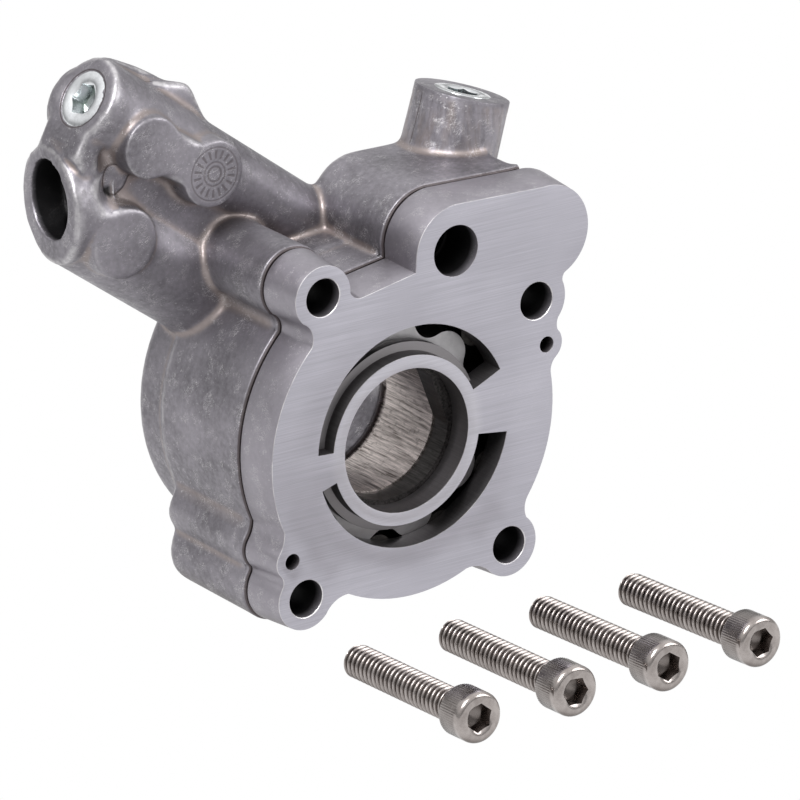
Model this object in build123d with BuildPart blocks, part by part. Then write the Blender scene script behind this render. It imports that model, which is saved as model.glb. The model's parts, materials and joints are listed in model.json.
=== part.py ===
# Engine oil pump: two die-cast housings, two gerotor sets, separator, relief valve, loose screws.
# Millimetres. Origin on the machined front face at the shaft bore, +Y goes into the pump, +Z up.
import math
import os

from build123d import *

os.makedirs("parts", exist_ok=True)

# Depths along Y from the machined front face
WEB_T = 5.0
STEP_Y = 3.0
PART_Y = 9.5
LIP_IN = 0.5
PLATE_T = 2.5
PLATE_GAP = 1.0
SCAV_Y0 = PART_Y + 2 * PLATE_T + PLATE_GAP
SCAV_Y1 = SCAV_Y0 + 12.0
BARREL_Y = 43.2
BOSS_Y = 34.3
FLANGE_Y = 11.0
HUMP_Y = 33.2
HUMP_X = 32.0
SEAT_Y = 24.0

# Bores and ports in the face
BORE_R = 13.8
RING_R = 16.3
LAND_R = 18.0
PORT_R = 21.3
PORT_C = (1.6, 0.5)
DISC_C = (1.6, 0.8)
DISC_R = 31.4
DRAFT = 0.75
LIP = 1.15
BOLT_R = 3.6
HEAD_R = 5.3
TL = (-18.6, 31.5)
TR = (29.1, 20.9)
BL = (-22.4, -25.8)
BR = (23.3, -25.8)
D1 = (31.5, 11.9)
D2 = (-25.4, -17.9)
DOWEL_R = 1.55
DOWEL_WALL = 0.35
OILPORT = (10.8, 34.4)
OILPORT_R = 4.9

# Gerotor sets
LOBES = 10
ROTOR_R = 27.0
RING_WALL = 3.2
LOBE_SINK = 0.4
ROOT_R = ROTOR_R - RING_WALL
LOBE_RC = ROOT_R - LOBE_SINK
LOBE_R = 3.2
FORM = 1.3765
ECC = LOBE_RC / (FORM * LOBES)
ECC_A = math.radians(10)
ECC_X = ECC * math.cos(ECC_A)
ECC_Z = ECC * math.sin(ECC_A)
POCKET_CL = 0.05
POCKET_R = ROTOR_R + POCKET_CL
MESH_CL = 0.06
FACE_CL = 0.04
TURN_IN = -4.0
TURN_OUT = TURN_IN * (LOBES - 1) / LOBES
HUB_STEP = 6.9
HUB_R = LOBE_RC - HUB_STEP
HUB_CL = 0.06
SLEEVE_WALL = 3.9
SLEEVE_R = HUB_R - SLEEVE_WALL
SEAT_STEP = 2.0
SEAT_R = SLEEVE_R + SEAT_STEP
SEAT_FLAT = 0.4
SEAT_AF = 2 * (SLEEVE_R + SEAT_FLAT)
DRIVE_CL = 0.3
DRIVE_R = SLEEVE_R + DRIVE_CL
DRIVE_FLAT = 1.0
DRIVE_AF = 2 * (SLEEVE_R - DRIVE_FLAT)
DRIVE_A = 21.0
ROTOR_STEPS = 162

# Relief valve, axis leaning 16 degrees
RV_A = math.radians(16)
RV_UP = (math.sin(RV_A), 0, math.cos(RV_A))
RV_TOP = (32.5, 28.0, 53.0)
RV_BOSS_R = 9.0
RV_BASE_R = 9.5
RV_BOSS_L = 32.0
RV_BORE_R = 5.0
RV_CL = 0.03
RV_PLUG_TOP = 0.3
RV_PLUG_L = 6.4
RV_SHIM_T = 0.8
RV_SEAT_S = 26.0
RV_SEAT_T = 2.0
RV_PISTON_L = 9.0
RV_LIFT = 3.0
RV_WIRE = 0.5
RV_COIL_R = 2.5

# Arm
IN_C = (-53.1, 36.0, 46.9)
IN_DIR = (-0.9936, 0.1132, 0)
IN_FACE = 0.5
IN_BOSS_C = (-53.1, 36.0, 45.8)
IN_BOSS_R = 11.1
IN_RIM_T = 1.5
IN_CONE_L = 9.5
IN_CONE_R = 9.6
IN_IN = (0.9936, -0.1132, 0)
IN_DEPTH = 7.0
IN_R = 7.45
TUBE_A = (-48.2, 36.0, 43.27)
TUBE_B = (-15.0, 36.0, 19.2)
TUBE_R = 9.5
GP_C = (-47.6, 33.5, 65.6)
GAL_L = 60.0
GAL_R0 = 8.4
GAL_R1 = 6.3
REAR_PAD = (-41.83, 60.75)
REAR_PAD_R = 7.9
REAR_PAD_Y = 43.2
REAR_PAD_T = 3.7
PADS = [((-43.9, 39.5), 6.8, 25.3), ((-26.0, 49.8), 6.4, 23.4), ((-39.1, 57.2), 5.9, 23.4)]
EJECTOR = ((-44.3, 51.2), 2.6, 28.2)
PAD_T = 7.0
GALLERY_BORE = 2.6
GALLERY_END = 5.0
DROP_L = 11.0
SUCTION = (-46.5, 35.5, 42.0)
SUCTION_R = 4.6
SUCTION_L = 39.0
FEED_END = (24.2, 27.0, 23.6)
FEED_Y = 25.0
FEED_R = 2.2
FEED_L = 17.4
SCAV_PORT_IN = 17.2
SCAV_PORT_OUT = 22.5
SCAV_PORT_L = 9.5
GP_R = 5.2
GP_L = 6.0
GP_IN = (0.824, 0, -0.567)
PLUG_TOP = 0.4

# Loose quarter-inch cap screws
SCREW_R = 3.12
SCREW_L = 31.75
SHEAD_R = 4.76
SHEAD_H = 6.35
FLOOR_Z = BL[1] - 6.0 - LIP
SCREW_PITCH = 1.27
THREAD_H = 0.68
GROOVE_W = 1.04
GROOVE_ROOT = 0.24
GROOVE_OUT = 0.1
THREAD_Z = 0.76
TIP_C = 0.72
HEAD_C = 0.45
SOCKET_L = 3.1
SCREWS = [(-26.39, -58.59, 0.72), (-5.35, -58.76, 0.48), (15.49, -59.14, -0.94), (35.95, -59.75, -1.86)]


def along(p, d, s):
    return (p[0] + d[0] * s, p[1] + d[1] * s, p[2] + d[2] * s)


def between(a, b):
    return (b[0] - a[0], b[1] - a[1], b[2] - a[2])


def length(v):
    return math.sqrt(v[0] ** 2 + v[1] ** 2 + v[2] ** 2)


def on(c, r, deg):
    return (c[0] + r * math.cos(math.radians(deg)), c[1] + r * math.sin(math.radians(deg)))


def inner_points(steps):
    pts = []
    rl = LOBE_R + MESH_CL
    spin = ECC_A + math.pi + math.radians(TURN_IN)
    for i in range(steps):
        t = 2 * math.pi * i / steps
        a = math.sin((1 - LOBES) * t)
        b = LOBE_RC / (ECC * LOBES) - math.cos((1 - LOBES) * t)
        psi = math.atan(a / b)
        x = LOBE_RC * math.cos(t) - rl * math.cos(t + psi) - ECC * math.cos(LOBES * t)
        y = -LOBE_RC * math.sin(t) + rl * math.sin(t + psi) + ECC * math.sin(LOBES * t)
        pts.append((x * math.cos(spin) - y * math.sin(spin), x * math.sin(spin) + y * math.cos(spin)))
    return pts


def face_plane(y):
    return Plane.XZ.offset(-y)


def waist(p, q, dip):
    # an arc from p to q that dips to its right by dip
    dx, dz = q[0] - p[0], q[1] - p[1]
    n = math.hypot(dx, dz)
    return (p, ((p[0] + q[0]) / 2 + dz / n * dip, (p[1] + q[1]) / 2 - dx / n * dip), q)


# Outline of the machined face, clockwise from the upper left boss, as arcs and lines
LOBE_C = (31.5, 33.5)
LOBE_BACK_R = 8.8
OUTLINE = [
    (on(TL, 6.0, 223.7), on(TL, 6.0, 120), on(TL, 6.0, -3)),
    (on(TL, 6.0, -3), (-11.6, 30.1), (-10.0, 29.7)),
    ((-10.0, 29.7), (1.9, 31.9)),
    ((1.9, 31.9), (2.05, 34.9)),
    ((2.05, 34.9), (4.7, 40.7), (10.8, 43.3)),
    ((10.8, 43.3), on(LOBE_C, 9.2, 96)),
    (on(LOBE_C, 9.2, 96), on(LOBE_C, 9.2, 15), on(LOBE_C, 9.2, -64)),
    (on(LOBE_C, 9.2, -64), (35.05, 24.5), on(TR, 6.5, 24.6)),
    (on(TR, 6.5, 24.6), on(TR, 6.5, -8), on(TR, 6.5, -40)),
    waist(on(TR, 6.5, -40), on(D1, 3.5, 45), 0.23),
    (on(D1, 3.5, 45), on(D1, 3.5, -2), on(D1, 3.5, -50)),
    waist(on(D1, 3.5, -50), (32.49, 6.4), 0.37),
    ((32.49, 6.4), (31.74, -8.0), (27.47, -17.0)),
    ((27.47, -17.0), (26.85, -18.8), on(BR, 6.1, 50)),
    (on(BR, 6.1, 50), on(BR, 6.1, -45), on(BR, 6.1, -140)),
    (on(BR, 6.1, -140), (16.6, -28.45), (13.6, -28.22)),
    ((13.6, -28.22), (0.0, -30.56), (-13.0, -27.0)),
    ((-13.0, -27.0), (-15.9, -27.75), on(BL, 6.0, -42)),
    (on(BL, 6.0, -42), on(BL, 6.0, -126), on(BL, 6.0, 150)),
    (on(BL, 6.0, 150), (-27.3, -21.3), on(D2, 3.4, 222)),
    (on(D2, 3.4, 222), on(D2, 3.4, 183), on(D2, 3.4, 145)),
    (on(D2, 3.4, 145), (-27.35, -14.2), (-27.07, -12.0)),
    ((-27.07, -12.0), (-29.79, 0.8), (-21.0, 22.38)),
    ((-21.0, 22.38), (-20.85, 24.9), on(TL, 6.0, 223.7)),
]


def arc_centre(p, q, r):
    ax, ay, bx, by, cx, cy = p[0], p[1], q[0], q[1], r[0], r[1]
    d = 2 * (ax * (by - cy) + bx * (cy - ay) + cx * (ay - by))
    a2, b2, c2 = ax * ax + ay * ay, bx * bx + by * by, cx * cx + cy * cy
    ux = (a2 * (by - cy) + b2 * (cy - ay) + c2 * (ay - by)) / d
    uy = (a2 * (cx - bx) + b2 * (ax - cx) + c2 * (bx - ax)) / d
    return (ux, uy)


def push(seg, p, g):
    # moves a point of a segment outward by g, the outline runs clockwise
    if len(seg) == 2:
        dx, dy = seg[1][0] - seg[0][0], seg[1][1] - seg[0][1]
        n = math.hypot(dx, dy)
        return (p[0] - dy / n * g, p[1] + dx / n * g)
    c = arc_centre(*seg)
    a, b, e = seg
    turn = (b[0] - a[0]) * (e[1] - b[1]) - (b[1] - a[1]) * (e[0] - b[0])
    side = 1 if turn < 0 else -1
    r = math.hypot(p[0] - c[0], p[1] - c[1])
    return (p[0] + side * (p[0] - c[0]) / r * g, p[1] + side * (p[1] - c[1]) / r * g)


def grown(g):
    # the outline moved outward by g with the same number of arcs and lines
    out = []
    n = len(OUTLINE)
    for i in range(n):
        prev, seg, nxt = OUTLINE[i - 1], OUTLINE[i], OUTLINE[(i + 1) % n]
        a, b = push(prev, seg[0], g), push(seg, seg[0], g)
        p0 = ((a[0] + b[0]) / 2, (a[1] + b[1]) / 2)
        a, b = push(seg, seg[-1], g), push(nxt, seg[-1], g)
        p1 = ((a[0] + b[0]) / 2, (a[1] + b[1]) / 2)
        if len(seg) == 2:
            out.append((p0, p1))
        else:
            out.append((p0, push(seg, seg[1], g), p1))
    return out


def draw(segs):
    for seg in segs:
        if len(seg) == 2:
            Line(*seg)
        else:
            ThreePointArc(*seg)


def kidney(a0, a1, r_in, c_out, r_out):
    # corner points of a port: inner arc on the bore axis, outer arc on its own centre
    pts = []
    for a in (a0, (a0 + a1) / 2, a1):
        pts.append(on((0, 0), r_in, a))
    for a in (a1, (a0 + a1) / 2, a0):
        ca, sa = math.cos(math.radians(a)), math.sin(math.radians(a))
        b = ca * c_out[0] + sa * c_out[1]
        d = b + math.sqrt(b * b - c_out[0] ** 2 - c_out[1] ** 2 + r_out ** 2)
        pts.append((d * ca, d * sa))
    return pts


# Front housing: web with two kidney ports over the feed rotor pocket
UP = kidney(24, 176, RING_R, PORT_C, PORT_R)
DN = kidney(197, 352, RING_R, PORT_C, PORT_R)
with BuildPart() as front_housing:
    with BuildSketch(face_plane(0)):
        with BuildLine():
            draw(grown(0))
        make_face()
    with BuildSketch(face_plane(PART_Y - LIP_IN)):
        with BuildLine():
            draw(grown(DRAFT))
        make_face()
    loft(ruled=True)
    with BuildSketch(face_plane(PART_Y - LIP_IN)):
        with BuildLine():
            draw(grown(0))
        make_face()
    extrude(amount=-LIP_IN)
    with BuildSketch(face_plane(0)):
        Circle(BORE_R)
    extrude(amount=-PART_Y, mode=Mode.SUBTRACT)
    with BuildSketch(face_plane(WEB_T)):
        with Locations((ECC_X, ECC_Z)):
            Circle(POCKET_R)
    extrude(amount=-(PART_Y - WEB_T), mode=Mode.SUBTRACT)
    for K in (UP, DN):
        with BuildSketch(face_plane(0)):
            with BuildLine():
                ThreePointArc(K[0], K[1], K[2])
                Line(K[2], K[3])
                ThreePointArc(K[3], K[4], K[5])
                Line(K[5], K[0])
            make_face()
        extrude(amount=-STEP_Y, mode=Mode.SUBTRACT)
    for K in (kidney(24, 172, LAND_R, PORT_C, PORT_R), kidney(201, 352, LAND_R, PORT_C, PORT_R)):
        with BuildSketch(face_plane(STEP_Y)):
            with BuildLine():
                ThreePointArc(K[0], K[1], K[2])
                Line(K[2], K[3])
                ThreePointArc(K[3], K[4], K[5])
                Line(K[5], K[0])
            make_face()
        extrude(amount=-(WEB_T - STEP_Y), mode=Mode.SUBTRACT)
    with BuildSketch(face_plane(0)):
        with Locations(TL, TR, BL, BR):
            Circle(BOLT_R)
        with Locations(D1, D2):
            Circle(DOWEL_R)
        with Locations(OILPORT):
            Circle(OILPORT_R)
    extrude(amount=-PART_Y, mode=Mode.SUBTRACT)
    rims = front_housing.edges().filter_by(GeomType.CIRCLE).filter_by_position(Axis.Y, -0.01, 0.01)
    chamfer(rims.filter_by(lambda e: abs(e.radius - BOLT_R) < 0.01), 0.15)
front_housing.part.label = "front_housing"
export_step(front_housing.part, "parts/front_housing.step")

# Rear housing: barrel, bosses, flange, oil hump, relief boss and the two-passage arm
TUBE_V = between(TUBE_A, TUBE_B)
RV_DN = (-RV_UP[0], 0, -RV_UP[2])
FEED_START = (OILPORT[0], FEED_Y, OILPORT[1])
with BuildPart() as rear_housing:
    with BuildSketch(face_plane(PART_Y)):
        with BuildLine():
            draw(grown(LIP - 0.45))
        make_face()
    with BuildSketch(face_plane(PART_Y + 0.5)):
        with BuildLine():
            draw(grown(LIP))
        make_face()
    loft(ruled=True)
    with BuildSketch(face_plane(PART_Y + 0.5)):
        with BuildLine():
            draw(grown(LIP))
        make_face()
    extrude(amount=-(BOSS_Y - PART_Y - 0.5))
    # right lobe is only a thin flange inside the front one, the oil hump stops before the bosses
    with BuildSketch(face_plane(FLANGE_Y)):
        with BuildLine():
            Polyline((HUMP_X, 60), (60, 60), (60, 28.9), (HUMP_X, 28.9), (HUMP_X, 60))
        make_face()
    extrude(amount=-40, mode=Mode.SUBTRACT)
    with BuildSketch(face_plane(PART_Y)):
        with BuildLine():
            Polyline((HUMP_X, 60), (60, 60), (60, 28.9), (HUMP_X, 28.9), (HUMP_X, 60))
        make_face()
        with Locations(LOBE_C):
            Circle(LOBE_BACK_R, mode=Mode.SUBTRACT)
    extrude(amount=-(FLANGE_Y - PART_Y), mode=Mode.SUBTRACT)
    with BuildSketch(face_plane(HUMP_Y)):
        with BuildLine():
            Polyline((-3.0, 60), (30, 60), (30, 33.6), (-3.0, 33.6), (-3.0, 60))
        make_face()
    extrude(amount=-40, mode=Mode.SUBTRACT)
    # barrel end
    with BuildSketch(face_plane(20)):
        with Locations(DISC_C):
            Circle(DISC_R + 0.5)
    extrude(amount=-(BARREL_Y - 20))
    fillet(rear_housing.faces().sort_by(Axis.Y)[-1].edges(), 1.5)
    # relief boss
    with BuildSketch(Plane(origin=RV_TOP, z_dir=RV_DN)):
        Circle(RV_BOSS_R)
    with BuildSketch(Plane(origin=along(RV_TOP, RV_DN, RV_BOSS_L), z_dir=RV_DN)):
        Circle(RV_BASE_R)
    loft()
    # arm web between its two tubes
    with BuildSketch(face_plane(29.0)):
        with BuildLine():
            Polyline((-50, 62), (-46, 68), (4, 31), (-4, 20), (-15, 18), (-30, 27), (-50, 44), (-50, 62))
        make_face()
    extrude(amount=-9.0)
    # lower passage tube and upper gallery tube
    with BuildSketch(Plane(origin=TUBE_A, z_dir=TUBE_V)):
        Circle(TUBE_R)
    extrude(amount=length(TUBE_V))
    with BuildSketch(Plane(origin=GP_C, z_dir=GP_IN)):
        Circle(GAL_R0)
    with BuildSketch(Plane(origin=along(GP_C, GP_IN, GAL_L), z_dir=GP_IN)):
        Circle(GAL_R1)
    loft()
    # inlet boss: rim and cone
    with BuildSketch(Plane(along(IN_BOSS_C, IN_DIR, IN_FACE), x_dir=IN_IN, z_dir=(IN_IN[1], -IN_IN[0], 0))):
        with BuildLine():
            Polyline((0, 0), (0, IN_BOSS_R), (IN_RIM_T, IN_BOSS_R), (IN_CONE_L, IN_CONE_R))
            Polyline((IN_CONE_L, IN_CONE_R), (IN_CONE_L, 0), (0, 0))
        make_face()
    revolve(axis=Axis(IN_BOSS_C, IN_IN))
    # rear pad at the gallery end and the neck down to the inlet boss
    with BuildSketch(face_plane(REAR_PAD_Y)):
        with Locations(REAR_PAD):
            Circle(REAR_PAD_R)
    extrude(amount=REAR_PAD_T)
    with BuildSketch(face_plane(27.5)):
        with BuildLine():
            Polyline((-50.9, 60.8), (-47, 62), (-48.6, 52), (-51, 52), (-53.2, 56.5), (-50.9, 60.8))
        make_face()
    extrude(amount=-13.0)
    # round pads and the ejector mark
    for (PX, PZ), PAD_R, PAD_Y in PADS + [EJECTOR]:
        with BuildSketch(face_plane(PAD_Y)):
            with Locations((PX, PZ)):
                Circle(PAD_R)
        extrude(amount=-PAD_T)
    with BuildSketch(face_plane(PADS[1][2])):
        with BuildLine():
            Polyline((-37.0, 61.6), (-26.0, 54.4), (-27.5, 45.8), (-37.5, 51.8), (-37.0, 61.6))
        make_face()
    extrude(amount=-PAD_T)
    # casting ridge behind the seam and the stub of its broken gate
    with BuildSketch(face_plane(34.6)):
        with BuildLine():
            Polyline((-41.2, 71.4), (-38.5, 70.4), (-34, 68.2), (-30, 65.8))
            Polyline((-30, 65.8), (-23.5, 58), (-30, 56), (-42, 64), (-41.2, 71.4))
        make_face()
    extrude(amount=-3.8)
    with BuildSketch(face_plane(32.0)):
        with BuildLine():
            Polyline((-36, 64), (-33, 66.3), (-28, 65.2), (-25.2, 64.3))
            Polyline((-25.2, 64.3), (-24.2, 62.8), (-21.2, 56), (-32, 58), (-36, 64))
        make_face()
    extrude(amount=-2.5)
    # rotor pocket and shaft bore
    with BuildSketch(face_plane(PART_Y)):
        with Locations((ECC_X, ECC_Z)):
            Circle(POCKET_R)
    extrude(amount=-(SCAV_Y1 - PART_Y), mode=Mode.SUBTRACT)
    with BuildSketch(face_plane(PART_Y)):
        Circle(BORE_R)
    extrude(amount=-(BARREL_Y - PART_Y), mode=Mode.SUBTRACT)
    # bolt clearance, screw seats, dowel holes, oil port
    with BuildSketch(face_plane(PART_Y)):
        with Locations(TL, TR, BL, BR):
            Circle(BOLT_R)
    extrude(amount=-40, mode=Mode.SUBTRACT)
    with BuildSketch(face_plane(SEAT_Y)):
        with Locations(TR, BL, BR):
            Circle(HEAD_R)
    extrude(amount=-30, mode=Mode.SUBTRACT)
    with BuildSketch(face_plane(BOSS_Y)):
        with Locations(TL):
            Circle(HEAD_R)
    extrude(amount=-12, mode=Mode.SUBTRACT)
    with BuildSketch(face_plane(PART_Y)):
        with Locations(D1, D2):
            Circle(DOWEL_R)
    extrude(amount=-6.0, mode=Mode.SUBTRACT)
    with BuildSketch(face_plane(PART_Y)):
        with Locations(OILPORT):
            Circle(OILPORT_R - 0.6)
    extrude(amount=-(27.5 - PART_Y), mode=Mode.SUBTRACT)
    # scavenge ports in the pocket floor
    for A0, A1 in ((98, 172), (12, 80)):
        with BuildSketch(face_plane(SCAV_Y1)):
            with BuildLine():
                CenterArc((0, 0), SCAV_PORT_IN, A0, A1 - A0)
                Line(on((0, 0), SCAV_PORT_IN, A1), on((0, 0), SCAV_PORT_OUT, A1))
                CenterArc((0, 0), SCAV_PORT_OUT, A0, A1 - A0)
                Line(on((0, 0), SCAV_PORT_OUT, A0), on((0, 0), SCAV_PORT_IN, A0))
            make_face()
        extrude(amount=-SCAV_PORT_L, mode=Mode.SUBTRACT)
    # inlet bore and its passage
    with BuildSketch(Plane(origin=along(IN_C, IN_DIR, IN_FACE), z_dir=(-IN_DIR[0], -IN_DIR[1], 0))):
        Circle(IN_R)
    extrude(amount=IN_DEPTH, both=True, mode=Mode.SUBTRACT)
    with BuildSketch(Plane(origin=SUCTION, z_dir=TUBE_V)):
        Circle(SUCTION_R)
    extrude(amount=SUCTION_L, mode=Mode.SUBTRACT)
    # gallery, its plug hole and the drop to the discharge port
    with BuildSketch(Plane(origin=GP_C, z_dir=GP_IN)):
        Circle(GP_R)
    extrude(amount=PLUG_TOP + GP_L, mode=Mode.SUBTRACT)
    with BuildSketch(Plane(origin=GP_C, z_dir=GP_IN)):
        Circle(GALLERY_BORE)
    extrude(amount=GAL_L + GALLERY_END + GALLERY_BORE, mode=Mode.SUBTRACT)
    with BuildSketch(Plane(origin=along(GP_C, GP_IN, GAL_L + GALLERY_END), z_dir=(0.1, 0, -1))):
        Circle(GALLERY_BORE)
    extrude(amount=DROP_L, mode=Mode.SUBTRACT)
    # relief bore, seat pocket, pressure feed and dump hole
    with BuildSketch(Plane(origin=RV_TOP, z_dir=RV_DN)):
        Circle(RV_BORE_R)
    extrude(amount=RV_SEAT_S + RV_SEAT_T, mode=Mode.SUBTRACT)
    with BuildSketch(Plane(origin=along(RV_TOP, RV_DN, RV_SEAT_S), z_dir=RV_DN)):
        Circle(2.6)
    extrude(amount=4.5, mode=Mode.SUBTRACT)
    with BuildSketch(Plane(origin=FEED_START, z_dir=between(FEED_START, FEED_END))):
        Circle(FEED_R)
    extrude(amount=FEED_L, mode=Mode.SUBTRACT)
    with BuildSketch(Plane(origin=along(RV_TOP, RV_DN, 22.6), z_dir=(0, 1, 0))):
        Circle(1.8)
    extrude(amount=14.0, mode=Mode.SUBTRACT)
rear_housing.part.label = "rear_housing"
export_step(rear_housing.part, "parts/rear_housing.step")

# Feed rotor set
INNER = inner_points(ROTOR_STEPS)
with BuildPart() as feed_inner_rotor:
    with BuildSketch(face_plane(WEB_T + FACE_CL)):
        with BuildLine():
            for i in range(0, ROTOR_STEPS, 2):
                ThreePointArc(INNER[i], INNER[i + 1], INNER[(i + 2) % ROTOR_STEPS])
        make_face()
    extrude(amount=-(PART_Y - WEB_T - 2 * FACE_CL))
    with BuildSketch(face_plane(WEB_T)):
        Circle(DRIVE_R)
        with Locations(Location((0, 0), DRIVE_A)):
            Rectangle(DRIVE_AF, 3 * DRIVE_R, mode=Mode.INTERSECT)
    extrude(amount=-PART_Y, mode=Mode.SUBTRACT)
feed_inner_rotor.part.label = "feed_inner_rotor"
export_step(feed_inner_rotor.part, "parts/feed_inner_rotor.step")

LOBE_A = math.degrees(ECC_A) + 180 + TURN_OUT
with BuildPart() as feed_outer_rotor:
    with BuildSketch(face_plane(WEB_T + FACE_CL)):
        with Locations((ECC_X, ECC_Z)):
            Circle(ROTOR_R)
            Circle(ROOT_R, mode=Mode.SUBTRACT)
            with PolarLocations(LOBE_RC, LOBES, start_angle=LOBE_A):
                Circle(LOBE_R)
    extrude(amount=-(PART_Y - WEB_T - 2 * FACE_CL))
feed_outer_rotor.part.label = "feed_outer_rotor"
export_step(feed_outer_rotor.part, "parts/feed_outer_rotor.step")

# Scavenge rotor set, the inner one has a sleeve that carries the separator
with BuildPart() as scavenge_inner_rotor:
    with BuildSketch(face_plane(SCAV_Y0 + FACE_CL)):
        with BuildLine():
            for i in range(0, ROTOR_STEPS, 2):
                ThreePointArc(INNER[i], INNER[i + 1], INNER[(i + 2) % ROTOR_STEPS])
        make_face()
    extrude(amount=-(SCAV_Y1 - SCAV_Y0 - 2 * FACE_CL))
    with BuildSketch(face_plane(PART_Y + FACE_CL)):
        Circle(HUB_R)
    extrude(amount=-(SCAV_Y0 - PART_Y))
    with BuildSketch(face_plane(PART_Y)):
        Circle(SLEEVE_R)
    extrude(amount=-30, mode=Mode.SUBTRACT)
    with BuildSketch(face_plane(SEAT_Y)):
        Circle(SEAT_R)
        with Locations(Location((0, 0), DRIVE_A)):
            Rectangle(SEAT_AF, 3 * SEAT_R, mode=Mode.INTERSECT)
    extrude(amount=-10, mode=Mode.SUBTRACT)
scavenge_inner_rotor.part.label = "scavenge_inner_rotor"
export_step(scavenge_inner_rotor.part, "parts/scavenge_inner_rotor.step")

with BuildPart() as scavenge_outer_rotor:
    with BuildSketch(face_plane(SCAV_Y0 + FACE_CL)):
        with Locations((ECC_X, ECC_Z)):
            Circle(ROTOR_R)
            Circle(ROOT_R, mode=Mode.SUBTRACT)
            with PolarLocations(LOBE_RC, LOBES, start_angle=LOBE_A):
                Circle(LOBE_R)
    extrude(amount=-(SCAV_Y1 - SCAV_Y0 - 2 * FACE_CL))
scavenge_outer_rotor.part.label = "scavenge_outer_rotor"
export_step(scavenge_outer_rotor.part, "parts/scavenge_outer_rotor.step")

# Separator: two plates with seal rings, pressed apart by a wave spring
PLATE_R = POCKET_R
SEAL_R = 0.8
SEAL_C = POCKET_R - SEAL_R
with BuildPart() as separator_plate_front:
    with BuildSketch(face_plane(PART_Y)):
        with Locations((ECC_X, ECC_Z)):
            Circle(PLATE_R)
        Circle(HUB_R + HUB_CL, mode=Mode.SUBTRACT)
    extrude(amount=-PLATE_T)
    with BuildSketch(face_plane(PART_Y + PLATE_T / 2 - SEAL_R)):
        with Locations((ECC_X, ECC_Z)):
            Circle(PLATE_R)
            Circle(SEAL_C - SEAL_R, mode=Mode.SUBTRACT)
    extrude(amount=-2 * SEAL_R, mode=Mode.SUBTRACT)
separator_plate_front.part.label = "separator_plate_front"
export_step(separator_plate_front.part, "parts/separator_plate_front.step")

with BuildPart() as separator_plate_rear:
    with BuildSketch(face_plane(SCAV_Y0 - PLATE_T)):
        with Locations((ECC_X, ECC_Z)):
            Circle(PLATE_R)
        Circle(HUB_R + HUB_CL, mode=Mode.SUBTRACT)
    extrude(amount=-PLATE_T)
    with BuildSketch(face_plane(SCAV_Y0 - PLATE_T / 2 - SEAL_R)):
        with Locations((ECC_X, ECC_Z)):
            Circle(PLATE_R)
            Circle(SEAL_C - SEAL_R, mode=Mode.SUBTRACT)
    extrude(amount=-2 * SEAL_R, mode=Mode.SUBTRACT)
separator_plate_rear.part.label = "separator_plate_rear"
export_step(separator_plate_rear.part, "parts/separator_plate_rear.step")

with BuildPart() as separator_seals:
    for SY in (PART_Y + PLATE_T / 2, SCAV_Y0 - PLATE_T / 2):
        with BuildSketch(Plane.XY.offset(ECC_Z)):
            with Locations((ECC_X + SEAL_C, SY)):
                Circle(SEAL_R)
        revolve(axis=Axis((ECC_X, 0, ECC_Z), (0, 1, 0)))
separator_seals.part.label = "separator_seals"
export_step(separator_seals.part, "parts/separator_seals.step")

# Wave spring: thin ring curved in waves between the plates
WAVE_W = 3.0
WAVE_CL = 3.5
WAVE_R = HUB_R + WAVE_CL + WAVE_W / 2
WAVE_T = 0.35
WAVE_A = (PLATE_GAP - WAVE_T) / 2
WAVE_Y = PART_Y + PLATE_T + PLATE_GAP / 2
WAVE_L = 16.0
front_pts = []
back_pts = []
for i in range(61):
    wx = -30.0 + i
    wy = WAVE_A * 0.99 * math.cos(2 * math.pi * wx / WAVE_L)
    front_pts.append((ECC_X + wx, WAVE_Y + wy - WAVE_T / 2))
    back_pts.append((ECC_X + wx, WAVE_Y + wy + WAVE_T / 2))
back_pts.reverse()
with BuildPart() as separator_wave_spring:
    with BuildSketch(Plane.XY.offset(ECC_Z - 30)):
        with BuildLine():
            Spline(*front_pts)
            Line(front_pts[-1], back_pts[0])
            Spline(*back_pts)
            Line(back_pts[-1], front_pts[0])
        make_face()
    extrude(amount=60)
    with BuildSketch(face_plane(PART_Y + PLATE_T - 0.5)):
        with Locations((ECC_X, ECC_Z)):
            Circle(WAVE_R + WAVE_W / 2)
            Circle(WAVE_R - WAVE_W / 2, mode=Mode.SUBTRACT)
    extrude(amount=-(PLATE_GAP + 1.0), mode=Mode.INTERSECT)
separator_wave_spring.part.label = "separator_wave_spring"
export_step(separator_wave_spring.part, "parts/separator_wave_spring.step")

# Relief valve: plug, shim, spring, piston, pressed seat
HEX_PLUG = 5.56
HEX_L = 3.5
GROOVE_S = 4.2
RING_S = 0.6
SEAT_BORE = 2.6
S_PLUG0 = RV_PLUG_TOP
S_SHIM = S_PLUG0 + RV_PLUG_L
S_SPRING0 = S_SHIM + RV_SHIM_T
S_PISTON0 = RV_SEAT_S - RV_PISTON_L
CUP_FLOOR = 3.0
S_SPRING1 = RV_SEAT_S - CUP_FLOOR
with BuildPart() as relief_plug:
    with BuildSketch(Plane(origin=along(RV_TOP, RV_DN, S_PLUG0), z_dir=RV_DN)):
        Circle(RV_BORE_R)
    extrude(amount=RV_PLUG_L)
    with BuildSketch(Plane(origin=along(RV_TOP, RV_DN, S_PLUG0), z_dir=RV_DN)):
        RegularPolygon(HEX_PLUG / 2, 6, major_radius=False)
    extrude(amount=HEX_L, mode=Mode.SUBTRACT)
    with BuildSketch(Plane(origin=along(RV_TOP, RV_DN, S_PLUG0 + GROOVE_S), z_dir=RV_DN)):
        Circle(RV_BORE_R)
        Circle(RV_BORE_R - 2 * RING_S, mode=Mode.SUBTRACT)
    extrude(amount=2 * RING_S, mode=Mode.SUBTRACT)
relief_plug.part.label = "relief_plug"
export_step(relief_plug.part, "parts/relief_plug.step")

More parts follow.
